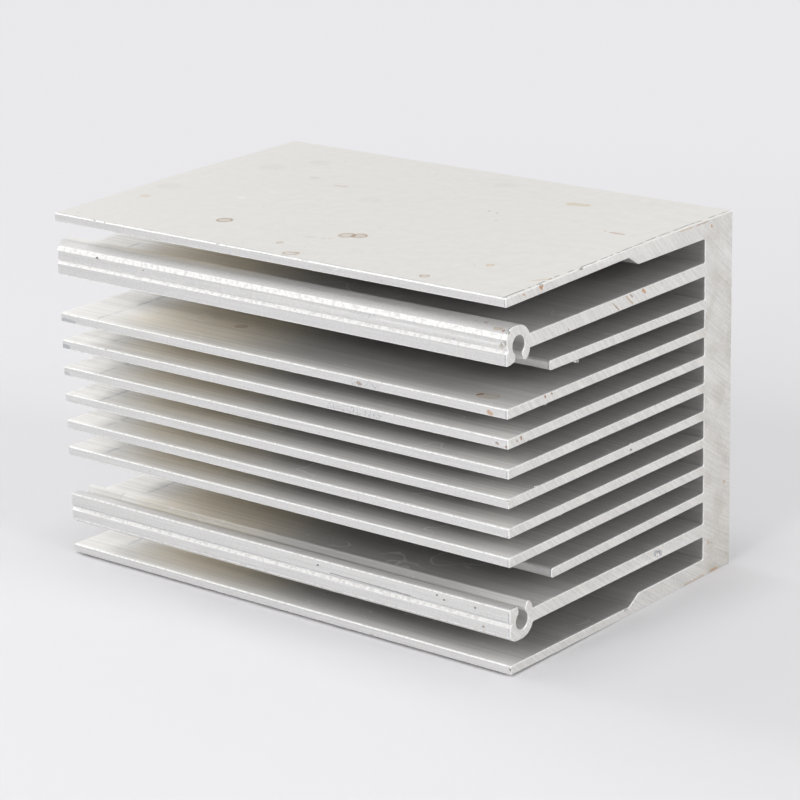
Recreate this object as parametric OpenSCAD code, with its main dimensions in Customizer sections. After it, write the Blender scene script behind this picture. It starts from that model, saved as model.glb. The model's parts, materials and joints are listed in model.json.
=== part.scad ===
// Extruded aluminium heat sink with two screw ports.
//
// One extrusion, sawn to length. X runs along the extrusion, the fins point to -Y,
// the thick base has its flat device face at +Y, and the stack of fins climbs along Z.
// The origin is at the middle of the underside. The section is the same above and
// below its mid-height, but for how far the flanges lean, so it is drawn once and mirrored.

/* [Cut piece] */
// Length of the piece along the extrusion
length = 154; // [20:1:400]
// Height from the outside of one outer flange to the outside of the other
height = 100; // [88:1:160]
// Depth from the fin tips to the device face
depth = 100; // [80:1:150]

/* [Base] */
// Thickness of the base plate that the fins stand on
base_t = 13; // [6:0.5:25]
// Radius in the corners where fins meet the base
root_r = 0.5; // [0.2:0.1:1]

/* [Outer flanges] */
// Thickness of a flange next to the base
flange_t = 5; // [3.5:0.1:6]
// Thickness of a flange towards its tip
flange_tip_t = 2.4; // [1.6:0.1:3.4]
// How far the thin stretch of a flange reaches from its tip
flange_thin_len = 52; // [20:1:60]
// Length of the slope between the thin and thick stretches
flange_step_len = 4.3; // [2:0.1:10]
// How far the upper flange's tip closes in towards the fins
upper_lean = 1.1; // [0:0.1:2]
// How far the lower flange's tip rises off the surface it stands on
lower_lean = 0.6; // [0:0.1:2]

/* [Port fins] */
// Thickness of the two fins that carry the screw ports
port_fin_t = 3.7; // [2.6:0.1:5]
// Clear gap between a flange and its port fin, at the base
port_gap = 6.5; // [5:0.1:10]
// How far a port fin closes in towards the middle at its tip
port_lean = 0.6; // [0:0.1:1]

/* [Screw ports] */
// Bore of a screw port, the core size of the screw cut into it
port_bore_d = 5; // [3.6:0.1:5.6]
// Outside diameter of the port's round wall
port_d = 10; // [9:0.1:10.6]
// Width of the slot that runs along a port
slot_w = 2.8; // [1.6:0.1:3]
// How far the squared front lip reaches past the bore's centre
lip_len = 4.1; // [3:0.1:4.8]
// Radius on the back corner of the front lip
lip_r = 0.7; // [0.2:0.1:0.8]
// Radius on the port's outer front corner
nose_r = 2.4; // [1:0.1:4]
// Width that is bevelled off the point of the rear lip
rear_bevel_w = 1.6; // [0.4:0.1:2]
// Length of that bevel along the slot
rear_bevel_len = 2.1; // [0.5:0.1:2.4]
// Width of the centring groove down the port's front face
groove_w = 1; // [0.4:0.1:1.6]
// Depth of the centring groove
groove_depth = 0.45; // [0.2:0.05:0.8]

/* [Plain fins] */
// Thickness of a plain fin
fin_t = 2.6; // [1.6:0.1:3.4]
// Distance from one plain fin to the next, centre to centre
fin_pitch = 7.75; // [6:0.05:10]
// Least gap kept between a port fin and the plain fin beside it
port_side_gap = 6; // [5:0.1:8]
// Radius on the edges of a full-length tip
tip_r = 0.4; // [0.1:0.05:0.7]

/* [Short fins] */
// How far the fins beside the ports stop short of the other tips
short_setback = 17.6; // [13:0.1:30]
// Radius on the edges of a short fin's tip
short_tip_r = 0.8; // [0.1:0.05:0.8]
// How far a short fin spreads towards the port at its tip
short_lean = 0.4; // [0:0.1:0.8]

/* [Hidden] */

// Roundness of every curve, and the overlap that joins touching shapes
$fn = 48;
bite = 0.5;

// The section is drawn in the Y-Z plane with Z counted from mid-height
tip_y = -depth / 2;
back_y = depth / 2;
root_y = back_y - base_t;
half_h = height / 2;

// A port touches the tip plane, centred on the tip of its fin
port_r = port_d / 2;
port_y = tip_y + port_r;
port_root_z = half_h - flange_t - port_gap - port_fin_t / 2;
port_z = port_root_z - port_lean;

// Plain fins fill the room between the port fins, as many above mid-height as below
plain_room = port_root_z - port_fin_t / 2 - port_side_gap - fin_t / 2;
fins_per_half = floor(plain_room / fin_pitch + 1 / 2);

// Two-dimensional corner: what a radius takes off a square corner at the origin
module corner_waste(r) {
    difference() {
        translate([-bite, -bite]) square(r + bite);
        translate([r, r]) circle(r);
    }
}

// Rounded inside corner between the base and a fin face at height z, on the side up
module root_fillet(z, up) {
    translate([root_y, z]) mirror([0, up > 0 ? 0 : 1]) difference() {
        translate([-root_r, -bite]) square([root_r + bite, root_r + bite]);
        translate([-root_r, root_r]) circle(root_r);
    }
}

// Section of one fin: its ends run straight, and the stretch between leans by lean
module fin(z, t, end_y, end_r, lean) {
    half_t = t / 2;
    difference() {
        polygon([
            [root_y + bite, z - half_t],
            [root_y + bite, z + half_t],
            [root_y - root_r, z + half_t],
            [end_y + end_r, z + lean + half_t],
            [end_y, z + lean + half_t],
            [end_y, z + lean - half_t],
            [end_y + end_r, z + lean - half_t],
            [root_y - root_r, z - half_t]
        ]);
        translate([end_y, z + lean - half_t]) corner_waste(end_r);
        translate([end_y, z + lean + half_t]) mirror([0, 1]) corner_waste(end_r);
    }
    root_fillet(z + half_t, 1);
    root_fillet(z - half_t, -1);
}

// Section of an outer flange: thick by the base, thin and leaning in to its tip
module flange(lean) {
    thin_y = tip_y + flange_thin_len;
    thick_y = thin_y + flange_step_len;
    tip_z = half_h - lean;
    difference() {
        polygon([
            [root_y + bite, half_h],
            [thin_y, half_h],
            [tip_y + tip_r, tip_z],
            [tip_y, tip_z],
            [tip_y, tip_z - flange_tip_t],
            [tip_y + tip_r, tip_z - flange_tip_t],
            [thin_y, half_h - flange_tip_t],
            [thick_y, half_h - flange_t],
            [root_y + bite, half_h - flange_t]
        ]);
        translate([tip_y, tip_z - flange_tip_t]) corner_waste(tip_r);
        translate([tip_y, tip_z]) mirror([0, 1]) corner_waste(tip_r);
    }
    root_fillet(half_h - flange_t, -1);
}

// Solid outline of a port about its bore: a round wall behind, squared to the front
module port_outline() {
    circle(port_r);
    translate([-port_r, 0]) square([port_r, port_r - nose_r]);
    translate([nose_r - port_r, 0]) square([port_r - nose_r, port_r]);
    translate([nose_r - port_r, port_r - nose_r]) circle(nose_r);
    translate([-port_r, -lip_len]) square([port_r - slot_w / 2, lip_len]);
}

// What is taken out of a port: slot, end of the lip, rear bevel and centring groove
module port_waste() {
    half_slot = slot_w / 2;
    below = -port_r - bite;
    translate([-half_slot, below]) square([slot_w, -below]);
    translate([below, below]) square([-below - half_slot, -below - lip_len]);
    translate([-half_slot, -lip_len]) mirror([1, 0]) corner_waste(lip_r);
    translate([-port_r, -lip_len]) corner_waste(tip_r);
    polygon([
        [half_slot, rear_bevel_len - port_r],
        [half_slot + rear_bevel_w, -port_r],
        [half_slot, below]
    ]);
    translate([-port_r, 0]) polygon([
        [-bite, -groove_w / 2],
        [0, -groove_w / 2],
        [groove_depth, 0],
        [0, groove_w / 2],
        [-bite, groove_w / 2]
    ]);
}

// Section of the upper port fin, with its screw port at the tip
module port_fin() {
    difference() {
        union() {
            fin(port_root_z, port_fin_t, port_y, tip_r, -port_lean);
            translate([port_y, port_z]) port_outline();
        }
        translate([port_y, port_z]) {
            circle(port_bore_d / 2);
            port_waste();
        }
    }
}

// Section of the plain fins above mid-height; the outermost is the short one
module plain_fins() {
    for (i = [1:fins_per_half]) {
        short = i == fins_per_half;
        z = (i - 1 / 2) * fin_pitch;
        if (short)
            fin(z, fin_t, tip_y + short_setback, short_tip_r, short_lean);
        else
            fin(z, fin_t, tip_y, tip_r, 0);
    }
}

// The whole section, the upper half mirrored to make the lower
module section() {
    translate([root_y, -half_h]) square([base_t, height]);
    for (side = [0, 1]) mirror([0, side]) {
        flange(side == 0 ? upper_lean : lower_lean);
        port_fin();
        plain_fins();
    }
}

module heat_sink() {
    color("gainsboro")
        translate([0, 0, half_h])
            rotate([90, 0, 90])
                linear_extrude(height = length, center = true) section();
}

heat_sink();
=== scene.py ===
"""Looks of an extruded aluminium heat sink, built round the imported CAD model."""

import json
import math
from collections import namedtuple

import bpy
import numpy as np
from mathutils import Matrix, Vector


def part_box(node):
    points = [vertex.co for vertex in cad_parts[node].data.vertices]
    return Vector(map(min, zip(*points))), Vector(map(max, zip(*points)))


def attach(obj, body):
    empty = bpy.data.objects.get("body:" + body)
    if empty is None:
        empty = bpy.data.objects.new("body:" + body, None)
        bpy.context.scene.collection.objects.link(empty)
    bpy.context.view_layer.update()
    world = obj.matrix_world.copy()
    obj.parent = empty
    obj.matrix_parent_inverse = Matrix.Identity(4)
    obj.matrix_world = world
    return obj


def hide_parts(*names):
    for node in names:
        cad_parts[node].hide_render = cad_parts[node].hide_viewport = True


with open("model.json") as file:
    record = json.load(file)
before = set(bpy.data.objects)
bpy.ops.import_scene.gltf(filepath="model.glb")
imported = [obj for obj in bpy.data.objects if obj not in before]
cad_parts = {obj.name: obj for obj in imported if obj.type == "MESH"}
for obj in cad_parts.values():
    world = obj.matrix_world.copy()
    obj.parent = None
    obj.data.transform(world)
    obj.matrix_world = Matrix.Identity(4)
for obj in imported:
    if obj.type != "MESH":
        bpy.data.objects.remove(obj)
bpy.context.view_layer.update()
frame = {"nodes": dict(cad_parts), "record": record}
scene = bpy.context.scene
MM = 0.001

# --- The pressed length -------------------------------------------------------
# One length of aluminium alloy, pushed hot through a die, so every face but the two
# ends runs straight along X. A circular saw cut it off square and left the edges of
# both cuts very slightly broken.

low, high = (np.array(corner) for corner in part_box("heat_sink"))
tip_y = low[1]
end_x, top_z = high[0], high[2]
edge_break = 0.18 * MM
snap = 0.001 * MM


def end_outline(node):
    """Outline of a node's +X end face as points (y, z), anticlockwise seen from +X.

    The end face is the triangles with all three corners at the largest x. Where two of
    them meet they share an edge, run opposite ways; an edge with no partner is on the rim."""
    mesh = node.data
    mesh.calc_loop_triangles()
    place = np.empty((len(mesh.vertices), 3))
    mesh.vertices.foreach_get("co", place.ravel())
    corners = np.empty((len(mesh.loop_triangles), 3), int)
    mesh.loop_triangles.foreach_get("vertices", corners.ravel())
    corners = corners[(place[corners, 0] > end_x - 10 * snap).all(1)]
    grid = np.round(place[:, 1:] / snap).astype(int)
    points, which = np.unique(grid, axis=0, return_inverse=True)
    corners = which.reshape(-1)[corners]
    edges = np.concatenate([corners[:, [0, 1]], corners[:, [1, 2]], corners[:, [2, 0]]])
    forward = edges[:, 0] * len(points) + edges[:, 1]
    backward = edges[:, 1] * len(points) + edges[:, 0]
    follows = dict(edges[~np.isin(forward, backward)].tolist())
    chain = list(follows)[:1]
    while follows[chain[-1]] != chain[0]:
        chain.append(follows[chain[-1]])
    return points[chain] * snap


def directions(ring):
    """Unit directions of a closed ring's segments, each from its point to the next."""
    step = np.roll(ring, -1, axis=0) - ring
    return step / np.linalg.norm(step, axis=1)[:, None]


def inset(ring, depth):
    """The ring moved inwards by depth, along the mean normal of the two segments at each point."""
    ahead = directions(ring)
    mean = ahead + np.roll(ahead, 1, axis=0)
    mean /= np.linalg.norm(mean, axis=1)[:, None]
    inward = np.stack([-mean[:, 1], mean[:, 0]], axis=1)
    return ring + inward * depth


def mesh_object(name, points, faces):
    """A mesh object of that name from an array of points and a list of faces."""
    mesh = bpy.data.meshes.new(name)
    mesh.from_pydata(points.tolist(), [], faces)
    thing = bpy.data.objects.new(name, mesh)
    scene.collection.objects.link(thing)
    return thing


def carried(name, rings, stations):
    """Rings of (y, z) points, one at each station x, joined in quads and closed by two ends."""
    count = rings.shape[1]
    x = np.repeat(stations, count)
    points = np.column_stack([x, rings.reshape(-1, 2)])
    here = np.arange(count)
    ahead = np.roll(here, -1)
    start = np.arange(len(stations) - 1)[:, None] * count
    corners = [start + here, start + ahead, start + count + ahead, start + count + here]
    quads = np.stack(corners, axis=-1)
    faces = quads.reshape(-1, 4).tolist()
    last = (len(stations) - 1) * count
    faces.append(here[::-1].tolist())
    faces.append((last + here).tolist())
    return mesh_object(name, points, faces)


def unroll(mesh, ring):
    """A UV map "drawn": U is the run round the section in metres, V is x in metres."""
    stride = np.linalg.norm(np.roll(ring, -1, axis=0) - ring, axis=1)
    run = np.concatenate([[0], np.cumsum(stride)[:-1]])
    corner = np.empty(len(mesh.loops), int)
    mesh.loops.foreach_get("vertex_index", corner)
    place = np.empty((len(mesh.vertices), 3))
    mesh.vertices.foreach_get("co", place.ravel())
    flat = np.column_stack([run[corner % len(ring)], place[corner, 0]])
    mesh.uv_layers.new(name="drawn").data.foreach_set("uv", flat.ravel())


def arc(centre, radius, start, end, steps=9):
    """Points of an arc: centre + radius * (cos, sin) of angles from start to end, in degrees."""
    turned = np.radians(np.linspace(start, end, steps))
    return np.array(centre) + radius * np.column_stack([np.cos(turned), np.sin(turned)])


def spliced(ring, run):
    """The ring, its stretch between the points nearest to the run's two ends swapped for the run."""
    first, last = (np.linalg.norm(ring - point, axis=1).argmin() for point in (run[0], run[-1]))
    return np.concatenate([ring[:first], run, ring[last + 1:]])


# The die gave each screw port a blunt nose, a groove to centre a drill in, and a lip on
# either side of its slot. Profiles are in mm from the bore's axis, the second number
# counted away from the middle of the stack of fins.
ports = next(mount for mount in frame["record"]["mounts"] if mount["name"] == "end_ports_right")
port_y, middle_z = ports["pos_m"][1:]
port_lift = ports["dims"]["spacing_y_mm"] / 2 * MM
nose = arc((-2.1, 2.1), 2.9, 90, 155)
blunt_nose = arc((-2.1, 2.1), 2.9, 90, 180)
lip_end = arc((-2.1, -3.4), 0.7, 270, 360, 7)
upper_front = np.concatenate([
    [(0, 5)],
    nose,
    [(-4.66, 3.18), (-5.0, 2.3), (-4.74, 2.2), (-4.74, -0.05), (-4.2, -0.65), (-5.0, -1.4)],
    [(-5.0, -4.2), (-4.92, -4.4), (-4.7, -4.48), (-3.0, -4.35)],
    lip_end,
])
lower_front = np.concatenate([
    [(0, 5)],
    blunt_nose,
    [(-5.0, 0.8), (-4.2, 0.1), (-5.0, -0.6)],
    [(-5.0, -3.75), (-4.9, -4.02), (-4.65, -4.1)],
    lip_end,
])
rear_lip = np.array([
    (1.4, -2.9), (1.72, -3.4), (2.0, -4.0), (2.5, -4.38),
    (3.35, -4.25), (4.0, -3.5), (4.45, -2.7), (4.66, -1.82),
])


def at_port(profile, side):
    """A profile's points (y, z) at the upper port (side 1), or mirrored and run back (side -1)."""
    y = port_y + profile[:, 0] * MM
    z = middle_z + side * (port_lift + profile[:, 1] * MM)
    return np.column_stack([y, z])[::side]


outline = end_outline(frame["nodes"]["heat_sink"])
for profile, side in ((upper_front, 1), (rear_lip, 1), (rear_lip, -1), (lower_front, -1)):
    outline = spliced(outline, at_port(profile, side))
broken = inset(outline, edge_break)
sawn_at = end_x - edge_break
extrusion = carried(
    "extrusion",
    np.stack([broken, outline, outline, broken]),
    np.array([-end_x, -sawn_at, sawn_at, end_x]),
)
unroll(extrusion.data, outline)
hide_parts("heat_sink")
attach(extrusion, "root")

# --- Knocks in its edges ------------------------------------------------------
# Handling and the saw have knocked small chips out of the thin edges. Each is a
# shallow lumpy hollow under a millimetre deep, with brighter or blackened metal in it.

Lump = namedtuple("Lump", "x y z half_x half_y half_z")


def lumpy_ball(lump, seed, around=9, rows=4):
    """Points and faces of a closed ball with lumps.

    At angle u round it and v up it, a point stands at centre + half size * (cos u cos v,
    sin u cos v, sin v), moved in or out by up to a quarter. Two poles close it."""
    u = np.linspace(0, 2 * math.pi, around, endpoint=False)
    v = np.linspace(-math.pi / 2, math.pi / 2, rows + 2)[1:-1]
    v, u = np.meshgrid(v, u, indexing="ij")
    ball = np.stack([np.cos(u) * np.cos(v), np.sin(u) * np.cos(v), np.sin(v)], axis=-1)
    ball = np.concatenate([ball.reshape(-1, 3), [(0, 0, -1), (0, 0, 1)]])
    ball *= 1 + 0.25 * np.random.default_rng(seed).uniform(-1, 1, (len(ball), 1))
    points = np.array(lump[:3]) * MM + ball * np.array(lump[3:]) * MM
    here = np.arange(around)
    ahead = np.roll(here, -1)
    start = np.arange(rows - 1)[:, None] * around
    corners = [start + here, start + ahead, start + around + ahead, start + around + here]
    belt = np.stack(corners, axis=-1)
    last = (rows - 1) * around
    south, north = rows * around, rows * around + 1
    foot = np.column_stack([ahead, here, np.full(around, south)])
    head = np.column_stack([last + here, last + ahead, np.full(around, north)])
    return points, belt.reshape(-1, 4).tolist() + foot.tolist() + head.tolist()


def lumps(name, places):
    """One mesh object of a lumpy ball for each place."""
    points, faces, count = [], [], 0
    for seed, lump in enumerate(places):
        more_points, more_faces = lumpy_ball(lump, seed)
        points.append(more_points)
        faces += [[corner + count for corner in face] for face in more_faces]
        count += len(more_points)
    return mesh_object(name, np.concatenate(points), faces)


flange_droop = 1.1
lip = (tip_y / MM, top_z / MM - flange_droop)
chips = [
    Lump(-62, *lip, 0.7, 0.35, 0.3),
    Lump(-58, *lip, 0.5, 0.3, 0.3),
    Lump(-17, *lip, 0.8, 0.3, 0.3),
    Lump(-14, *lip, 0.4, 0.3, 0.25),
    Lump(12.5, *lip, 1.7, 0.25, 0.25),
    Lump(25.7, *lip, 0.5, 0.35, 0.3),
    Lump(36, *lip, 0.5, 0.3, 0.3),
    Lump(-60.6, -50, 62.9, 0.6, 0.4, 0.5),
    Lump(41.2, -50, 62.9, 0.25, 0.4, 0.7),
    Lump(76.9, -50, 46.6, 0.5, 0.5, 0.7),
    Lump(-61.7, -50.1, 88.3, 0.6, 0.5, 0.6),
    Lump(31.8, -50, 0.3, 0.5, 0.4, 0.4),
    Lump(77, -50, 1.9, 0.5, 0.5, 0.5),
    Lump(77, 15.1, 13.4, 0.35, 1.0, 0.8),
    Lump(77, 2.7, 45.9, 0.3, 0.5, 0.3),
    Lump(77, -35.6, 99.0, 0.45, 0.6, 0.45),
    Lump(77, -18.5, 99.5, 0.3, 1.4, 0.3),
    Lump(77, -41.5, 60.4, 0.3, 0.7, 0.3),
    Lump(77, 50, 86.2, 0.5, 0.35, 0.5),
    Lump(77, 50, 83.4, 0.4, 0.3, 0.4),
    Lump(77, 50, 78.4, 0.5, 0.35, 0.6),
    Lump(77, 0.4, 2.2, 0.4, 0.8, 0.35),
    Lump(75.5, -49.9, 87.0, 0.9, 0.25, 0.8),
    Lump(76.9, -49.0, 90.0, 0.35, 0.5, 0.45),
]
gouges = lumps("gouges", chips)
knock = extrusion.modifiers.new("knocks", "BOOLEAN")
knock.object = gouges
knock.solver = "EXACT"
knock.material_mode = "TRANSFER"


def metal_shade(level, warmth=0.02):
    """A near-grey colour of that level, a little redder and less blue by the warmth."""
    return (level * (1 + warmth / 2), level, level * (1 - warmth), 1)


def put(tree, kind, sockets=(), **settings):
    """A shader node of that kind; each socket named takes a value or a link."""
    node = tree.nodes.new("ShaderNode" + kind)
    for name, value in settings.items():
        setattr(node, name, value)
    for name, value in dict(sockets).items():
        if isinstance(value, bpy.types.NodeSocket):
            tree.links.new(value, node.inputs[name])
        else:
            node.inputs[name].default_value = value
    return node


def finish(name):
    """A new material of that name: its node tree and its Principled BSDF."""
    material = bpy.data.materials.new(name)
    material.use_nodes = True
    return material, material.node_tree, material.node_tree.nodes["Principled BSDF"]


METALLIC = 0.85

chip_material, tree, bsdf = finish("chipped metal")
bsdf.inputs["Metallic"].default_value = METALLIC
bsdf.inputs["Roughness"].default_value = 0.45
body = put(tree, "TexCoord").outputs["Object"]
crumbs = put(tree, "TexNoise", {"Vector": body, "Scale": 2500, "Detail": 2}).outputs["Fac"]
chip_shade = put(tree, "ValToRGB", {"Fac": crumbs})
chip_shade.color_ramp.elements[0].color = metal_shade(0.16, 0.10)
chip_shade.color_ramp.elements[1].color = metal_shade(0.90)
chip_shade.color_ramp.elements[0].position = 0.35
chip_shade.color_ramp.elements[1].position = 0.60
tree.links.new(chip_shade.outputs["Color"], bsdf.inputs["Base Color"])
rough = put(tree, "Bump", {"Height": crumbs, "Strength": 0.6, "Distance": 0.1 * MM}).outputs["Normal"]
tree.links.new(rough, bsdf.inputs["Normal"])
gouges.data.materials.append(chip_material)

knocked = extrusion.evaluated_get(bpy.context.evaluated_depsgraph_get())
extrusion.data = bpy.data.meshes.new_from_object(knocked)
extrusion.modifiers.clear()
bpy.data.objects.remove(gouges)

# --- Its mill finish ----------------------------------------------------------
# Nothing coats the metal. The die drew fine lines along every face, so highlights
# stretch across them; inside the gaps the colour carries painted shade, and something
# wet once left a tide mark right round the far end.

SPREAD = 0.6


def reckon(tree, operation, first, second=0.0):
    """Result of a Math node on two numbers or sockets."""
    return put(tree, "Math", {0: first, 1: second}, operation=operation).outputs[0]


def tinted(tree, share, under, over):
    """The colour under, with the colour over laid on it by its share."""
    return put(tree, "Mix", {0: share, 6: under, 7: over}, data_type="RGBA").outputs[2]


def ease(tree, value, start, end, low=0.0, high=1.0):
    """Smooth step of a value: low before the start, high past the end."""
    limits = {"Value": value, "From Min": start, "From Max": end, "To Min": low, "To Max": high}
    return put(tree, "MapRange", limits, interpolation_type="SMOOTHSTEP").outputs["Result"]


def effect(name, inputs, outputs):
    """A node group of that name: its tree, what comes in and what goes out."""
    tree = bpy.data.node_groups.new(name, "ShaderNodeTree")
    for label, kind in inputs.items():
        tree.interface.new_socket(label, in_out="INPUT", socket_type="NodeSocket" + kind)
    for label, kind in outputs.items():
        tree.interface.new_socket(label, in_out="OUTPUT", socket_type="NodeSocket" + kind)
    return tree, tree.nodes.new("NodeGroupInput").outputs, tree.nodes.new("NodeGroupOutput").inputs


die_lines, given, result = effect("die lines", {"Width": "Float", "Length": "Float"}, {"Lines": "Float"})
body = put(die_lines, "TexCoord").outputs["Object"]
cell = put(die_lines, "CombineXYZ", {"X": given["Length"], "Y": given["Width"], "Z": given["Width"]})
stretched = put(die_lines, "VectorMath", {0: body, 1: cell.outputs[0]}, operation="DIVIDE").outputs[0]
noise = put(die_lines, "TexNoise", {"Vector": stretched, "Scale": 1, "Detail": 2, "Roughness": 0.6})
die_lines.links.new(noise.outputs["Fac"], result["Lines"])

specks, given, result = effect(
    "specks", {"Spacing": "Float", "Size": "Float", "Share": "Float"}, {"Specks": "Float"}
)
body = put(specks, "TexCoord").outputs["Object"]
per_metre = reckon(specks, "DIVIDE", 1.0, given["Spacing"])
scaled = put(specks, "VectorMath", {0: body, "Scale": per_metre}, operation="SCALE").outputs[0]
cells = put(specks, "TexVoronoi", {"Vector": scaled, "Scale": 1})
chance = put(specks, "SeparateXYZ", {0: cells.outputs["Color"]}).outputs
size = reckon(specks, "MULTIPLY", reckon(specks, "DIVIDE", given["Size"], given["Spacing"]), chance["X"])
near = ease(specks, reckon(specks, "DIVIDE", cells.outputs["Distance"], size), 1.0, 0.5)
picked = reckon(specks, "LESS_THAN", chance["Y"], given["Share"])
specks.links.new(reckon(specks, "MULTIPLY", near, picked), result["Specks"])

stroke, given, result = effect(
    "stroke",
    {"Place": "Vector", "Start": "Vector", "End": "Vector", "Reach": "Float"},
    {"Inside": "Float", "Rim": "Float"},
)
length = put(stroke, "VectorMath", {0: given["End"], 1: given["Start"]}, operation="SUBTRACT").outputs[0]
offset = put(stroke, "VectorMath", {0: given["Place"], 1: given["Start"]}, operation="SUBTRACT").outputs[0]
along = put(stroke, "VectorMath", {0: offset, 1: length}, operation="DOT_PRODUCT").outputs["Value"]
whole = put(stroke, "VectorMath", {0: length, 1: length}, operation="DOT_PRODUCT").outputs["Value"]
part = put(stroke, "Math", {0: along, 1: whole}, operation="DIVIDE", use_clamp=True).outputs[0]
nearest = put(stroke, "VectorMath", {0: length, "Scale": part}, operation="SCALE").outputs[0]
gap = put(stroke, "VectorMath", {0: offset, 1: nearest}, operation="DISTANCE").outputs["Value"]
away = reckon(stroke, "DIVIDE", gap, given["Reach"])
stroke.links.new(ease(stroke, away, 1.1, 0.75), result["Inside"])
from_rim = reckon(stroke, "ABSOLUTE", reckon(stroke, "SUBTRACT", away, 0.9))
stroke.links.new(ease(stroke, from_rim, 0.24, 0.05), result["Rim"])

Mark = namedtuple("Mark", "start end reach colour inside rim")


def wavering(tree, body, amount, size):
    """Object coordinates pushed about by noise of that size, so that outlines waver."""
    push = put(tree, "TexNoise", {"Vector": body, "Scale": 1 / size, "Detail": 2}).outputs["Color"]
    middle = put(tree, "VectorMath", {0: push, 1: (0.5, 0.5, 0.5)}, operation="SUBTRACT").outputs[0]
    moved = put(tree, "VectorMath", {0: middle, "Scale": amount}, operation="SCALE").outputs[0]
    return put(tree, "VectorMath", {0: body, 1: moved}, operation="ADD").outputs[0]


def marked(tree, colour, place, marks):
    """The colour with each mark laid on it. A mark is a stroke from start to end, in mm."""
    for mark in marks:
        start, end = (tuple(value * MM for value in point) for point in (mark.start, mark.end))
        sockets = {"Place": place, "Start": start, "End": end, "Reach": mark.reach * MM}
        drawn = put(tree, "Group", sockets, node_tree=stroke)
        fill = reckon(tree, "MULTIPLY", drawn.outputs["Inside"], mark.inside)
        edge = reckon(tree, "MULTIPLY", drawn.outputs["Rim"], mark.rim)
        colour = tinted(tree, reckon(tree, "MAXIMUM", fill, edge), colour, mark.colour)
    return colour


def lines_across(tree, width, length):
    """Die lines of that width and length, from 0 to 1."""
    return put(tree, "Group", {"Width": width, "Length": length}, node_tree=die_lines).outputs["Lines"]


def speckled(tree, spacing, size, share):
    """Specks of that spacing, size and share of cells that hold one, from 0 to 1."""
    chosen = {"Spacing": spacing, "Size": size, "Share": share}
    return put(tree, "Group", chosen, node_tree=specks).outputs["Specks"]


def along_the_grain(tree, bsdf):
    """Stretches the highlights across the drawing lines."""
    bsdf.inputs["Metallic"].default_value = METALLIC
    bsdf.inputs["Anisotropic"].default_value = SPREAD
    grain = put(tree, "Tangent", direction_type="UV_MAP", uv_map="drawn")
    tree.links.new(grain.outputs[0], bsdf.inputs["Tangent"])


CLEAN = metal_shade(0.90)
GAP_SHADE = metal_shade(0.52)
WARM_GAP_SHADE = metal_shade(0.84, 0.15)
TIDE_WHITE = metal_shade(0.86, 0.02)
TIDE_RIM = (0.50, 0.53, 0.58, 1)
DUST = metal_shade(0.95)
tide_x = -64 * MM
RUST = (0.40, 0.17, 0.07, 1)
BROWN = (0.40, 0.28, 0.18, 1)
TAN = (0.62, 0.50, 0.36, 1)
gap_marks = [
    Mark((65.2, -43.7, 70.7), (67.2, -43.3, 70.7), 2.0, TAN, 0.20, 0.55),
    Mark((63.6, -43.9, 70.7), (63.9, -43.2, 70.7), 0.7, RUST, 0.70, 0.0),
    Mark((-26.6, -32.1, 70.7), (-26.0, -31.9, 70.7), 1.5, BROWN, 0.35, 0.45),
    Mark((22.0, -44.1, 1.8), (23.0, -43.9, 1.8), 1.2, TAN, 0.55, 0.10),
]

drawn_metal, tree, bsdf = finish("drawn metal")
along_the_grain(tree, bsdf)
body = put(tree, "TexCoord").outputs["Object"]
where = put(tree, "SeparateXYZ", {0: body}).outputs
fine = lines_across(tree, 0.16 * MM, 40 * MM)
bands = lines_across(tree, 0.8 * MM, 220 * MM)
# Painted shade: the colour darkens from just ahead of the tips to 10 mm into the gaps, less towards both
# open ends where light gets in; the back and bottom faces take it too.
into_gap = ease(tree, where["Y"], tip_y - 1 * MM, tip_y + 10 * MM)
from_far_end = ease(tree, where["X"], -66 * MM, 12 * MM)
by_near_end = ease(tree, where["X"], 48 * MM, 76 * MM, 1.0, 0.45)
gap_shade = reckon(tree, "MULTIPLY", into_gap, reckon(tree, "MULTIPLY", from_far_end, by_near_end))
colour = tinted(tree, gap_shade, CLEAN, GAP_SHADE)
# Painted shade, tinted warm, deep in the gaps from the tide mark to about the middle.
warm_far = ease(tree, where["X"], tide_x, -50 * MM)
warm_near = ease(tree, where["X"], 5 * MM, -30 * MM)
warm_shade = reckon(tree, "MULTIPLY", into_gap, reckon(tree, "MULTIPLY", warm_far, warm_near))
colour = tinted(tree, reckon(tree, "MULTIPLY", warm_shade, 0.6), colour, WARM_GAP_SHADE)
waver = put(tree, "TexNoise", {"Vector": body, "Scale": 160, "Detail": 4}).outputs["Fac"]
edge_x = reckon(tree, "ADD", where["X"], reckon(tree, "MULTIPLY", waver, 3.4 * MM))
beyond = ease(tree, edge_x, tide_x + 2.6 * MM, tide_x + 0.6 * MM)
colour = tinted(tree, reckon(tree, "MULTIPLY", beyond, 0.7), colour, TIDE_WHITE)
rim_gap = reckon(tree, "ABSOLUTE", reckon(tree, "SUBTRACT", edge_x, tide_x + 1.8 * MM))
rim = reckon(tree, "MULTIPLY", ease(tree, rim_gap, 1.0 * MM, 0.1 * MM), ease(tree, waver, 0.40, 0.62))
colour = tinted(tree, reckon(tree, "MULTIPLY", rim, 0.5), colour, TIDE_RIM)
colour = marked(tree, colour, wavering(tree, body, 0.8 * MM, 1.6 * MM), gap_marks)
dust = speckled(tree, 2.2 * MM, 0.42 * MM, 0.30)
colour = tinted(tree, reckon(tree, "MULTIPLY", dust, 0.60), colour, DUST)
curl = put(tree, "TexNoise", {"Vector": body, "Scale": 55, "Detail": 2}).outputs["Fac"]
thread = ease(tree, reckon(tree, "ABSOLUTE", reckon(tree, "SUBTRACT", curl, 0.5)), 0.012, 0.002)
scuff_place = ease(tree, put(tree, "TexNoise", {"Vector": body, "Scale": 38}).outputs["Fac"], 0.56, 0.64)
scuff = reckon(tree, "MULTIPLY", thread, scuff_place)
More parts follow.
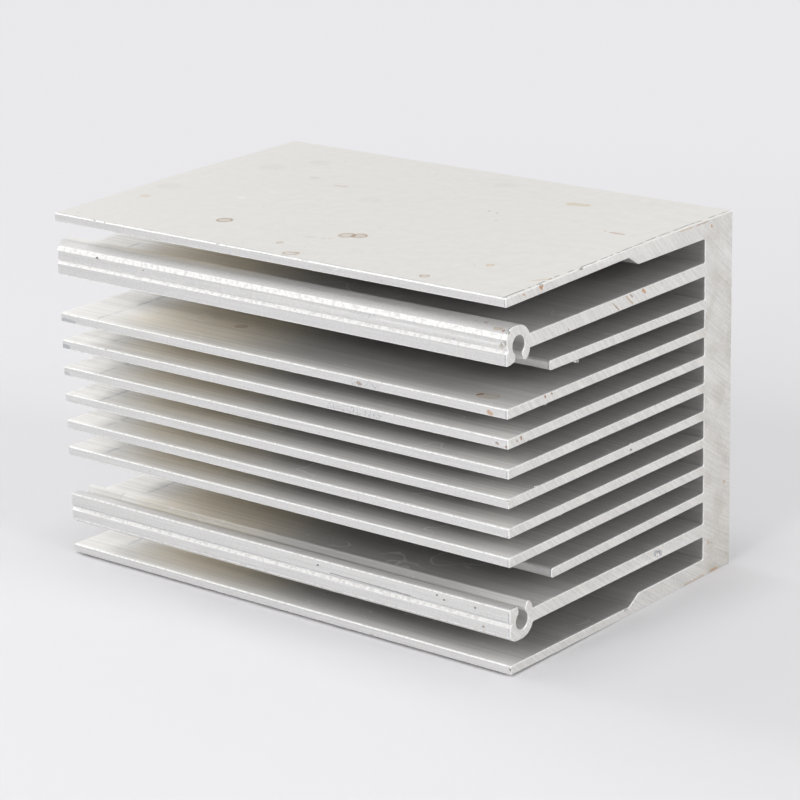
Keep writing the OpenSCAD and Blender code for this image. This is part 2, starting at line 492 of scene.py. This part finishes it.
colour = tinted(tree, reckon(tree, "MULTIPLY", scuff, 0.45), colour, DUST)
streaky = reckon(tree, "ADD", reckon(tree, "MULTIPLY", fine, 0.5), reckon(tree, "MULTIPLY", bands, 0.5))
streak_shade = ease(tree, streaky, 0.36, 0.64, 0.90, 1.07)
shade = put(tree, "CombineXYZ", {0: streak_shade, 1: streak_shade, 2: streak_shade}).outputs[0]
colour = put(tree, "VectorMath", {0: colour, 1: shade}, operation="MULTIPLY").outputs[0]
tree.links.new(colour, bsdf.inputs["Base Color"])
roughness = ease(tree, fine, 0.3, 0.7, 0.57, 0.66)
roughness = reckon(tree, "ADD", roughness, reckon(tree, "MULTIPLY", beyond, 0.1))
tree.links.new(roughness, bsdf.inputs["Roughness"])
raised = reckon(tree, "ADD", reckon(tree, "MULTIPLY", fine, 0.4), reckon(tree, "MULTIPLY", bands, 0.6))
lined = put(tree, "Bump", {"Height": raised, "Strength": 0.5, "Distance": 0.02 * MM}).outputs["Normal"]
tree.links.new(lined, bsdf.inputs["Normal"])

# The upper outer face is the one that was handled and splashed: dried drops have left
# brown rings and fills, and there are smears, clouds and scratches by the sawn edge.

OCHRE = (0.60, 0.42, 0.22, 1)
ORANGE = (0.60, 0.31, 0.10, 1)
SLATE = (0.42, 0.45, 0.48, 1)
SOOT = (0.10, 0.095, 0.09, 1)
SILVER = (0.95, 0.95, 0.94, 1)
FACE = metal_shade(0.80, 0.035)
top = top_z / MM
drops = [
    Mark((-31.8, -31.3, top), (-31.4, -31.1, top), 2.1, BROWN, 0.25, 0.75),
    Mark((6.5, -25.9, top), (6.9, -25.7, top), 2.1, BROWN, 0.22, 0.70),
    Mark((9.6, -24.6, top), (10.0, -24.4, top), 2.0, BROWN, 0.28, 0.70),
    Mark((4.3, -47.0, top), (6.1, -46.3, top), 1.7, BROWN, 0.08, 0.55),
    Mark((-4.0, -40.4, top), (-3.8, -40.4, top), 1.3, BROWN, 0.10, 0.45),
    Mark((3.3, -31.1, top), (3.5, -31.0, top), 0.8, BROWN, 0.30, 0.35),
    Mark((4.9, -30.9, top), (5.1, -30.8, top), 0.9, TAN, 0.30, 0.40),
    Mark((47.6, -45.1, top), (48.0, -44.9, top), 1.5, BROWN, 0.10, 0.60),
    Mark((55.7, -28.5, top), (55.9, -28.5, top), 1.1, OCHRE, 0.20, 0.75),
    Mark((-44.3, -11.1, top), (-43.3, -10.9, top), 1.0, SILVER, 0.35, 0.10),
    Mark((-68.4, -23.5, top), (-68.0, -23.3, top), 1.6, OCHRE, 0.25, 0.10),
    Mark((-40.6, -2.1, top), (-40.0, -1.9, top), 0.8, SILVER, 0.30, 0.10),
    Mark((-30.2, 13.5, top), (-27.0, 14.1, top), 0.6, RUST, 0.30, 0.05),
    Mark((-41.8, 17.0, top), (-40.2, 17.2, top), 1.2, SLATE, 0.20, 0.05),
    Mark((36.8, 32.2, top), (41.0, 33.2, top), 1.6, TAN, 0.45, 0.05),
    Mark((22.9, 13.9, top), (23.5, 13.7, top), 0.4, RUST, 0.45, 0.0),
    Mark((26.0, 13.3, top), (26.6, 13.1, top), 0.4, RUST, 0.40, 0.0),
    Mark((63.6, 13.0, top), (67.5, 13.2, top), 0.45, RUST, 0.50, 0.0),
    Mark((61.2, 13.5, top), (61.6, 13.5, top), 0.4, RUST, 0.45, 0.0),
    Mark((14.2, -35.5, top), (26.6, -34.5, top), 0.8, SLATE, 0.14, 0.0),
    Mark((-1.4, -32.4, top), (0.2, -32.0, top), 1.2, SLATE, 0.16, 0.0),
    Mark((-70.9, -12.2, top), (-68.9, -11.8, top), 3.0, SLATE, 0.10, 0.05),
    Mark((-61.0, 20.5, top), (-59.0, 21.1, top), 3.0, SLATE, 0.10, 0.05),
    Mark((-53.0, 32.0, top), (-50.8, 32.2, top), 2.4, SLATE, 0.12, 0.0),
    Mark((7.8, 39.5, top), (9.8, 40.3, top), 2.4, SLATE, 0.10, 0.0),
    Mark((-12.4, 5.3, top), (-10.4, 5.9, top), 2.2, SLATE, 0.09, 0.0),
    Mark((23.2, -47.4, top), (23.8, -47.2, top), 0.25, SOOT, 0.50, 0.0),
    Mark((72.6, -35.0, top), (75.8, -30.6, top), 0.9, OCHRE, 0.40, 0.0),
    Mark((74.9, -40.4, top), (76.2, -37.4, top), 0.35, BROWN, 0.45, 0.0),
    Mark((50.0, -37.4, top), (58.0, -39.0, top), 0.15, SLATE, 0.45, 0.0),
    Mark((55.0, -37.0, top), (66.0, -39.8, top), 0.15, SLATE, 0.45, 0.0),
    Mark((60.0, -39.2, top), (75.4, -42.2, top), 0.18, SLATE, 0.50, 0.0),
    Mark((52.0, -38.9, top), (62.5, -41.6, top), 0.13, SLATE, 0.40, 0.0),
]

upper_face, tree, bsdf = finish("upper face")
along_the_grain(tree, bsdf)
body = put(tree, "TexCoord").outputs["Object"]
where = put(tree, "SeparateXYZ", {0: body}).outputs
fine = lines_across(tree, 0.25 * MM, 30 * MM)
clouds = put(tree, "TexNoise", {"Vector": body, "Scale": 26, "Detail": 4, "Roughness": 0.6}).outputs["Fac"]
mottle = put(tree, "TexNoise", {"Vector": body, "Scale": 260, "Detail": 3}).outputs["Fac"]
mixed = reckon(tree, "ADD", reckon(tree, "MULTIPLY", clouds, 0.62), reckon(tree, "MULTIPLY", mottle, 0.24))
mixed = reckon(tree, "ADD", mixed, reckon(tree, "MULTIPLY", fine, 0.14))
cloud_shade = ease(tree, mixed, 0.30, 0.70, 0.90, 1.05)
shade = put(tree, "CombineXYZ", {0: cloud_shade, 1: cloud_shade, 2: cloud_shade}).outputs[0]
colour = put(tree, "VectorMath", {0: FACE[:3], 1: shade}, operation="MULTIPLY").outputs[0]
place = wavering(tree, body, 0.9 * MM, 1.8 * MM)
colour = marked(tree, colour, place, drops)
grime = speckled(tree, 3.1 * MM, 0.42 * MM, 0.16)
colour = tinted(tree, reckon(tree, "MULTIPLY", grime, 0.55), colour, BROWN)
from_edge = reckon(tree, "SUBTRACT", end_x, where["X"])
wander = put(tree, "TexNoise", {"Vector": body, "Scale": 45, "Detail": 3}).outputs["Fac"]
from_edge = reckon(tree, "SUBTRACT", from_edge, reckon(tree, "MULTIPLY", wander, 2.6 * MM))
from_edge = reckon(tree, "ABSOLUTE", reckon(tree, "ADD", from_edge, 0.45 * MM))
broken_up = put(tree, "TexNoise", {"Vector": body, "Scale": 330, "Detail": 2}).outputs["Fac"]
hair = ease(tree, from_edge, 0.28 * MM, 0.08 * MM)
hair = reckon(tree, "MULTIPLY", hair, ease(tree, broken_up, 0.40, 0.52))
colour = tinted(tree, reckon(tree, "MULTIPLY", hair, 0.75), colour, SOOT)
# Painted shade with grime: a broken dark line on the top face just behind the rolled front edge.
from_tip = reckon(tree, "SUBTRACT", where["Y"], tip_y + 0.35 * MM)
from_tip = reckon(tree, "SUBTRACT", from_tip, reckon(tree, "MULTIPLY", wander, 0.9 * MM))
crease_shade_and_grime = ease(tree, reckon(tree, "ABSOLUTE", from_tip), 0.34 * MM, 0.10 * MM)
crease_shade_and_grime = reckon(tree, "MULTIPLY", crease_shade_and_grime, ease(tree, broken_up, 0.42, 0.56))
colour = tinted(tree, reckon(tree, "MULTIPLY", crease_shade_and_grime, 0.45), colour, SLATE)
tree.links.new(colour, bsdf.inputs["Base Color"])
tree.links.new(ease(tree, mixed, 0.3, 0.7, 0.66, 0.54), bsdf.inputs["Roughness"])
raised = reckon(tree, "ADD", reckon(tree, "MULTIPLY", fine, 0.5), reckon(tree, "MULTIPLY", mottle, 0.5))
lined = put(tree, "Bump", {"Height": raised, "Strength": 0.4, "Distance": 0.02 * MM}).outputs["Normal"]
tree.links.new(lined, bsdf.inputs["Normal"])

# The fins' tips and the fronts of the two screw ports take every knock and touch. They
# carry grey dirt, black pits and a few rust runs, and dark lines run along the grooves.

TIP = metal_shade(0.80, 0.01)
front = tip_y / MM
tip_marks = [
    Mark((71.2, front, 69.2), (72.0, front, 68.8), 0.6, ORANGE, 0.60, 0.0),
    Mark((29.4, front, 69.3), (30.2, front, 69.1), 0.5, BROWN, 0.60, 0.0),
    Mark((-76.0, front, 68.7), (-72.0, front, 68.4), 0.8, SLATE, 0.55, 0.0),
    Mark((-77.0, front, 61.2), (-74.6, front, 60.9), 0.8, SLATE, 0.60, 0.0),
    Mark((-77.0, front, 53.4), (-75.4, front, 53.2), 0.6, SLATE, 0.40, 0.0),
    Mark((73.4, front, 61.6), (74.0, front, 61.4), 0.35, BROWN, 0.70, 0.0),
    Mark((76.4, front, 61.1), (76.9, front, 61.0), 0.35, RUST, 0.70, 0.0),
    Mark((28.9, front, 85.7), (29.1, front, 85.7), 0.30, SOOT, 0.90, 0.0),
    Mark((-44.9, front, 87.5), (-44.7, front, 87.5), 0.35, SOOT, 0.70, 0.0),
    Mark((60.4, front, 85.9), (60.9, front, 85.8), 0.30, SOOT, 0.80, 0.0),
    Mark((-24.1, front, 85.6), (-23.8, front, 85.6), 0.30, SOOT, 0.80, 0.0),
    Mark((12.7, front, 85.8), (12.9, front, 85.8), 0.25, SOOT, 0.80, 0.0),
    Mark((47.8, front, 85.9), (48.8, front, 85.7), 0.30, RUST, 0.95, 0.0),
    Mark((-76.0, front, 86.1), (48.0, front, 86.1), 0.16, SLATE, 0.45, 0.0),
    Mark((48.8, front, 86.1), (75.0, front, 86.1), 0.20, BROWN, 0.60, 0.0),
    Mark((-76.0, front, 14.6), (76.0, front, 14.6), 0.16, SLATE, 0.55, 0.0),
    Mark((-76.0, front, 88.2), (70.0, front, 88.2), 0.12, SLATE, 0.35, 0.0),
    Mark((75.2, front, 86.5), (76.2, front, 87.5), 0.8, BROWN, 0.35, 0.0),
    Mark((72.6, front + 1.2, 90.4), (74.4, front + 1.4, 90.5), 0.5, TAN, 0.60, 0.0),
    Mark((75.2, front + 1.0, 90.3), (75.5, front + 1.1, 90.4), 0.35, RUST, 0.60, 0.0),
    Mark((68.6, front + 2.6, 91.0), (69.0, front + 2.7, 91.0), 0.40, BROWN, 0.60, 0.0),
    Mark((-22.4, front, 87.6), (-21.0, front, 87.5), 0.22, SLATE, 0.70, 0.0),
    Mark((-3.8, front, 87.3), (-2.2, front, 87.2), 0.20, SLATE, 0.60, 0.0),
    Mark((23.0, front, 88.4), (26.0, front, 88.3), 0.20, SLATE, 0.55, 0.0),
    Mark((13.7, front, 16.4), (14.0, front, 16.4), 0.28, SOOT, 0.80, 0.0),
    Mark((14.8, front, 14.1), (15.1, front, 14.1), 0.28, SOOT, 0.80, 0.0),
    Mark((53.6, front, 17.0), (53.9, front, 17.0), 0.25, SOOT, 0.70, 0.0),
    Mark((55.9, front, 16.2), (56.2, front, 16.2), 0.25, SOOT, 0.70, 0.0),
    Mark((65.8, front, 16.3), (66.1, front, 16.3), 0.25, SOOT, 0.70, 0.0),
    Mark((68.3, front, 11.8), (68.6, front, 11.8), 0.30, BROWN, 0.80, 0.0),
    Mark((18.0, front, 15.1), (45.0, front, 14.8), 0.16, SOOT, 0.55, 0.0),
    Mark((31.4, front, 0.8), (32.3, front, 0.7), 0.35, BROWN, 0.80, 0.0),
    Mark((49.9, front, 0.5), (50.4, front, 0.5), 0.30, SLATE, 0.70, 0.0),
    Mark((-5.6, front, 98.7), (1.4, front, 98.7), 0.22, SLATE, 0.60, 0.0),
    Mark((42.7, front, 98.8), (51.8, front, 98.8), 0.24, SLATE, 0.60, 0.0),
    Mark((22.4, front, 97.9), (23.8, front, 98.2), 0.16, SILVER, 0.90, 0.0),
]
dirt_patches = [
    Mark((28.0, front, 69.0), (35.5, front, 68.9), 1.1, SLATE, 0.60, 0.0),
    Mark((20.0, front, 61.5), (36.5, front, 61.5), 1.0, SLATE, 0.60, 0.0),
    Mark((28.0, front, 87.7), (35.0, front, 87.5), 0.9, SLATE, 0.50, 0.0),
]

tip_metal, tree, bsdf = finish("tips and port fronts")
along_the_grain(tree, bsdf)
body = put(tree, "TexCoord").outputs["Object"]
where = put(tree, "SeparateXYZ", {0: body}).outputs
fine = lines_across(tree, 0.20 * MM, 16 * MM)
bands = lines_across(tree, 0.9 * MM, 120 * MM)
grain = put(tree, "TexNoise", {"Vector": body, "Scale": 1500, "Detail": 3}).outputs["Fac"]
mixed = reckon(tree, "ADD", reckon(tree, "MULTIPLY", fine, 0.4), reckon(tree, "MULTIPLY", bands, 0.3))
mixed = reckon(tree, "ADD", mixed, reckon(tree, "MULTIPLY", grain, 0.3))
tip_shade = ease(tree, mixed, 0.36, 0.64, 0.93, 1.05)
shade = put(tree, "CombineXYZ", {0: tip_shade, 1: tip_shade, 2: tip_shade}).outputs[0]
colour = put(tree, "VectorMath", {0: TIP[:3], 1: shade}, operation="MULTIPLY").outputs[0]
flecks = ease(tree, grain, 0.50, 0.62)
plain = colour
dirty = marked(tree, colour, wavering(tree, body, 1.6 * MM, 2 * MM), dirt_patches)
colour = tinted(tree, flecks, plain, dirty)
colour = marked(tree, colour, wavering(tree, body, 0.35 * MM, 0.8 * MM), tip_marks)
pits = speckled(tree, 2.4 * MM, 0.34 * MM, 0.20)
colour = tinted(tree, reckon(tree, "MULTIPLY", pits, 0.45), colour, SLATE)
by_corner = reckon(tree, "ABSOLUTE", reckon(tree, "SUBTRACT", where["X"], end_x - 0.45 * MM))
broken_up = put(tree, "TexNoise", {"Vector": body, "Scale": 700, "Detail": 2}).outputs["Fac"]
corner_line = ease(tree, by_corner, 0.30 * MM, 0.08 * MM)
corner_line = reckon(tree, "MULTIPLY", corner_line, ease(tree, broken_up, 0.38, 0.52))
colour = tinted(tree, reckon(tree, "MULTIPLY", corner_line, 0.55), colour, SLATE)
tree.links.new(colour, bsdf.inputs["Base Color"])
tree.links.new(ease(tree, mixed, 0.36, 0.64, 0.62, 0.50), bsdf.inputs["Roughness"])
raised = reckon(tree, "SUBTRACT", mixed, pits)
lined = put(tree, "Bump", {"Height": raised, "Strength": 0.5, "Distance": 0.03 * MM}).outputs["Normal"]
tree.links.new(lined, bsdf.inputs["Normal"])

# A half-metre saw blade left its arcs on both ends, a millimetre or so apart, and
# rust-coloured swarf has stained them here and there.

SAWN = metal_shade(0.80, 0.03)
SAWN_BASE = metal_shade(0.70, 0.06)
DIRT = metal_shade(0.50, 0.14)
blade_y, blade_z = 170 * MM, 240 * MM
face = end_x / MM
end_marks = [
    Mark((face, -34.6, 70.5), (face, -34.4, 70.1), 0.35, RUST, 0.75, 0.0),
    Mark((face, -31.9, 70.5), (face, -31.6, 70.0), 0.30, RUST, 0.65, 0.0),
    Mark((face, -46.4, 61.9), (face, -46.2, 61.5), 0.30, BROWN, 0.70, 0.0),
    Mark((face, -44.8, 62.3), (face, -44.5, 61.7), 0.35, RUST, 0.60, 0.0),
    Mark((face, 8.0, 87.8), (face, 9.0, 87.0), 0.45, ORANGE, 0.70, 0.0),
    Mark((face, 0.8, 87.6), (face, 3.6, 85.2), 0.30, TAN, 0.80, 0.0),
    Mark((face, 2.6, 87.8), (face, 3.4, 87.0), 0.30, BROWN, 0.60, 0.0),
    Mark((face, -5.2, 87.3), (face, -2.6, 85.0), 0.16, BROWN, 0.70, 0.0),
    Mark((face, -24.5, 85.0), (face, -24.2, 84.8), 0.25, RUST, 0.55, 0.0),
    Mark((face, 39.8, 98.1), (face, 40.1, 97.8), 0.45, ORANGE, 0.65, 0.0),
    Mark((face, 47.0, 24.8), (face, 47.2, 24.6), 0.40, ORANGE, 0.50, 0.0),
    Mark((face, 39.3, 9.3), (face, 39.5, 9.1), 0.40, ORANGE, 0.50, 0.0),
    Mark((face, -35.9, 98.8), (face, -35.3, 98.8), 0.62, ORANGE, 0.85, 0.0),
    Mark((face, -35.5, 98.2), (face, -35.4, 98.0), 0.30, ORANGE, 0.80, 0.0),
    Mark((face, -43.0, 98.2), (face, -42.5, 98.0), 0.25, ORANGE, 0.60, 0.0),
    Mark((face, 25.0, 99.7), (face, 31.0, 99.7), 0.40, TAN, 0.55, 0.0),
    Mark((face, 33.0, 99.7), (face, 38.0, 99.7), 0.40, BROWN, 0.45, 0.0),
    Mark((face, 14.2, 13.9), (face, 16.2, 13.2), 0.9, SLATE, 0.65, 0.0),
    Mark((face, 2.5, 46.0), (face, 2.9, 45.8), 0.35, SOOT, 0.85, 0.0),
    Mark((face, -42.0, 18.3), (face, -41.8, 18.1), 0.30, RUST, 0.75, 0.0),
    Mark((face, -49.7, 18.1), (face, -49.5, 17.9), 0.30, RUST, 0.70, 0.0),
    Mark((face, 40.8, 0.6), (face, 43.6, 0.6), 0.45, ORANGE, 0.55, 0.0),
    Mark((face, 28.0, 0.4), (face, 37.0, 0.4), 0.40, TAN, 0.50, 0.0),
]

sawn_metal, tree, bsdf = finish("sawn metal")
bsdf.inputs["Metallic"].default_value = METALLIC
body = put(tree, "TexCoord").outputs["Object"]
where = put(tree, "SeparateXYZ", {0: body}).outputs
across = reckon(tree, "SUBTRACT", where["Y"], blade_y)
up = reckon(tree, "SUBTRACT", where["Z"], blade_z)
squares = [reckon(tree, "MULTIPLY", side, side) for side in (across, up)]
radius = reckon(tree, "SQRT", reckon(tree, "ADD", *squares))
angle = reckon(tree, "ARCTAN2", up, across)
arc_pitch = 0.55 * MM
arc_breaks = 14.0
outwards = reckon(tree, "MULTIPLY", radius, 1 / arc_pitch)
round_blade = reckon(tree, "MULTIPLY", angle, arc_breaks)
sweep = put(tree, "CombineXYZ", {"X": outwards, "Y": round_blade}).outputs[0]
saw_arcs = put(tree, "TexNoise", {"Vector": sweep, "Scale": 1, "Detail": 3, "Roughness": 0.7}).outputs["Fac"]
swirl = put(tree, "VectorMath", {0: sweep, 1: (0.16, 0.5, 1)}, operation="MULTIPLY").outputs[0]
broad = put(tree, "TexNoise", {"Vector": swirl, "Scale": 1, "Detail": 2}).outputs["Fac"]
grain = put(tree, "TexNoise", {"Vector": body, "Scale": 1300, "Detail": 3}).outputs["Fac"]
mixed = reckon(tree, "ADD", reckon(tree, "MULTIPLY", saw_arcs, 0.5), reckon(tree, "MULTIPLY", broad, 0.25))
mixed = reckon(tree, "ADD", mixed, reckon(tree, "MULTIPLY", grain, 0.25))
saw_shade = ease(tree, mixed, 0.36, 0.64, 0.90, 1.07)
into_base = ease(tree, where["Y"], 30 * MM, 46 * MM)
lower_down = ease(tree, where["Z"], 110 * MM, -40 * MM)
base_share = reckon(tree, "MULTIPLY", into_base, lower_down)
colour = tinted(tree, base_share, SAWN, SAWN_BASE)
shade = put(tree, "CombineXYZ", {0: saw_shade, 1: saw_shade, 2: saw_shade}).outputs[0]
colour = put(tree, "VectorMath", {0: colour, 1: shade}, operation="MULTIPLY").outputs[0]
colour = marked(tree, colour, wavering(tree, body, 0.7 * MM, 1.2 * MM), end_marks)
swarf = speckled(tree, 2.8 * MM, 0.36 * MM, 0.20)
colour = tinted(tree, reckon(tree, "MULTIPLY", swarf, 0.50), colour, BROWN)
clouds = put(tree, "TexNoise", {"Vector": body, "Scale": 130, "Detail": 3}).outputs["Fac"]
clouded = reckon(tree, "MULTIPLY", ease(tree, clouds, 0.46, 0.66), ease(tree, where["Y"], 28 * MM, 40 * MM))
colour = tinted(tree, reckon(tree, "MULTIPLY", clouded, 0.30), colour, DIRT)
tree.links.new(colour, bsdf.inputs["Base Color"])
tree.links.new(ease(tree, mixed, 0.36, 0.64, 0.66, 0.54), bsdf.inputs["Roughness"])
lined = put(tree, "Bump", {"Height": mixed, "Strength": 0.6, "Distance": 0.05 * MM}).outputs["Normal"]
tree.links.new(lined, bsdf.inputs["Normal"])

# Every corner that stands out has a lighter finish, partly rubbed bright and partly a
# painted highlight: the rounded edges of the tips and the narrow breaks round both cuts.

rubbed_edge_and_highlight, tree, bsdf = finish("rubbed edge and painted highlight")
bsdf.inputs["Metallic"].default_value = 0.4
body = put(tree, "TexCoord").outputs["Object"]
worn = put(tree, "TexNoise", {"Vector": body, "Scale": 800, "Detail": 3}).outputs["Fac"]
# The lighter patches, up to near white, paint a highlight line along each edge over the real wear.
colour = tinted(tree, ease(tree, worn, 0.36, 0.56), metal_shade(0.80, 0.02), metal_shade(0.96, 0.01))
tree.links.new(colour, bsdf.inputs["Base Color"])
tree.links.new(ease(tree, worn, 0.36, 0.56, 0.60, 0.42), bsdf.inputs["Roughness"])
lined = put(tree, "Bump", {"Height": worn, "Strength": 0.4, "Distance": 0.02 * MM}).outputs["Normal"]
tree.links.new(lined, bsdf.inputs["Normal"])

finishes = (drawn_metal, upper_face, tip_metal, sawn_metal, chip_material, rubbed_edge_and_highlight)


def dress(mesh):
    """Gives each face its finish by where it is and which way it faces; chips keep theirs."""
    names = [material and material.name for material in mesh.materials]
    count = len(mesh.polygons)
    centre, normal, slot = np.empty((count, 3)), np.empty((count, 3)), np.empty(count, int)
    mesh.polygons.foreach_get("center", centre.ravel())
    mesh.polygons.foreach_get("normal", normal.ravel())
    mesh.polygons.foreach_get("material_index", slot)
    chipped = slot == names.index(chip_material.name)
    ends = np.abs(normal[:, 0]) > 0.9
    upper = (normal[:, 2] > 0.9) & (centre[:, 2] > top_z - (flange_droop + 0.1) * MM)
    from_front = centre[:, 1] - tip_y
    from_port = np.abs(np.abs(centre[:, 2] - middle_z) - port_lift)
    outside_groove = from_port > 3.2 * MM
    port_top = outside_groove & (from_port < 5.2 * MM) & (from_front < 3.2 * MM)
    short_fin_end = (from_front > 12 * MM) & (from_front < 25 * MM)
    at_tip = (normal[:, 1] < -0.2) & ((from_front < 2.2 * MM) | short_fin_end)
    at_tip |= (normal[:, 2] > 0) & port_top
    rounded = (from_front < 0.5 * MM) & (np.abs(normal[:, 1]) < 0.97) & (np.abs(normal[:, 1]) > 0.2)
    rounded &= (normal[:, 2] > 0) | outside_groove
    broken_edge = (np.abs(normal[:, 0]) > 0.3) | rounded
    mesh.materials.clear()
    for material in finishes:
        mesh.materials.append(material)
    slot = np.select([chipped, ends, broken_edge, upper, at_tip], [4, 3, 5, 1, 2], 0)
    mesh.polygons.foreach_set("material_index", slot)


dress(extrusion.data)
extrusion.data.shade_smooth()
extrusion.data.set_sharp_from_angle(angle=math.radians(30))

# --- Saw burrs ----------------------------------------------------------------
# Where the blade left each fin it drew out a few slivers of the same metal, still
# joined to the edge. They stand less than half a millimetre proud of it.

burr_places = [
    Lump(76.7, -38.7, 47.55, 0.25, 0.7, 0.30),
    Lump(76.7, -37.9, 47.50, 0.20, 0.3, 0.35),
    Lump(76.7, -21.0, 75.85, 0.20, 0.9, 0.35),
    Lump(76.8, -20.2, 75.70, 0.15, 0.3, 0.45),
    Lump(74.0, -49.3, 29.40, 1.4, 0.4, 0.25),
    Lump(70.5, -49.4, 29.40, 0.9, 0.3, 0.20),
    Lump(76.7, -34.0, 68.00, 0.20, 0.8, 0.25),
    Lump(76.7, 3.0, 47.50, 0.20, 0.7, 0.25),
    Lump(76.7, -28.0, 37.00, 0.20, 0.9, 0.22),
    Lump(76.7, -12.0, 52.50, 0.20, 0.6, 0.22),
]
burrs = lumps("saw_burrs", burr_places)
burrs.data.materials.append(chip_material)
burrs.data.shade_smooth()
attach(burrs, "root")

# --- Table --------------------------------------------------------------------
# A plain pale table top. Close to the part it takes real light and shadow; further
# off, and in reflections, it is an even pale grey.

BACKDROP = (0.82, 0.81, 0.83, 1)
TABLE = (0.64, 0.635, 0.65, 1)
half_table = 3.0
floor = mesh_object(
    "floor",
    np.array([(-1, -1, 0), (1, -1, 0), (1, 1, 0), (-1, 1, 0)]) * half_table,
    [(0, 1, 2, 3)],
)
table_material, tree, bsdf = finish("table")
bsdf.inputs["Base Color"].default_value = TABLE
bsdf.inputs["Roughness"].default_value = 0.9
body = put(tree, "TexCoord").outputs["Object"]
away = put(tree, "VectorMath", {0: body}, operation="LENGTH").outputs["Value"]
far_off = ease(tree, away, 0.15, 0.55)
ray = put(tree, "LightPath").outputs
seen = reckon(tree, "MAXIMUM", ray["Is Camera Ray"], ray["Is Glossy Ray"])
even = put(tree, "Emission", {"Color": BACKDROP, "Strength": 1.0}).outputs[0]
share = reckon(tree, "MULTIPLY", far_off, seen)
surface = put(tree, "MixShader", {0: share, 1: bsdf.outputs[0], 2: even}).outputs[0]
tree.links.new(surface, tree.nodes["Material Output"].inputs["Surface"])
floor.data.materials.append(table_material)

# --- Light --------------------------------------------------------------------
# A bright room and four soft lamps about the part: in front, at both ends, overhead.

world = bpy.data.worlds.new("studio")
scene.world = world
world.use_nodes = True
sky = world.node_tree.nodes["Background"].inputs
sky["Color"].default_value = (1, 1, 1, 1)
sky["Strength"].default_value = 0.48


def softbox(name, azimuth, elevation, watts, reach=1.8, size=0.8):
    """A square lamp aimed at the part. Azimuth is in degrees from -Y towards +X."""
    turned, raised = math.radians(azimuth), math.radians(elevation)
    level = math.cos(raised)
    toward = Vector((math.sin(turned) * level, -math.cos(turned) * level, math.sin(raised)))
    data = bpy.data.lights.new(name, "AREA")
    data.shape = "SQUARE"
    data.size = size
    data.energy = watts
    lamp = bpy.data.objects.new(name, data)
    lamp.location = toward * reach + Vector((0, 0, 0.05))
    lamp.rotation_euler = toward.to_track_quat("Z", "Y").to_euler()
    scene.collection.objects.link(lamp)


softbox("front", 0, 32, 14)
softbox("far_side", -90, 20, 16)
softbox("near_side", 90, 25, 12)
softbox("overhead", 0, 90, 10)

# --- Camera -------------------------------------------------------------------
# A long lens at a low three-quarter angle, level but for a slight roll.

heading = math.radians(39.40)
pitch = math.radians(17.54)
roll = math.radians(-1.40)
distance = 0.8247
aim = Vector((0.0019, 0.0002, 0.0466))
turn = (
    Matrix.Rotation(heading, 4, "Z")
    @ Matrix.Rotation(math.pi / 2 - pitch, 4, "X")
    @ Matrix.Rotation(roll, 4, "Z")
)
back = (turn @ Vector((0, 0, 1, 0))).to_3d()
camera_data = bpy.data.cameras.new("camera")
camera_data.lens = 135.4
camera_data.sensor_width = 36
camera_data.clip_start = 0.01
camera_data.clip_end = 20
camera = bpy.data.objects.new("camera", camera_data)
camera.matrix_world = Matrix.Translation(aim + back * distance) @ turn
scene.collection.objects.link(camera)
scene.camera = camera
scene.view_settings.view_transform = "Standard"
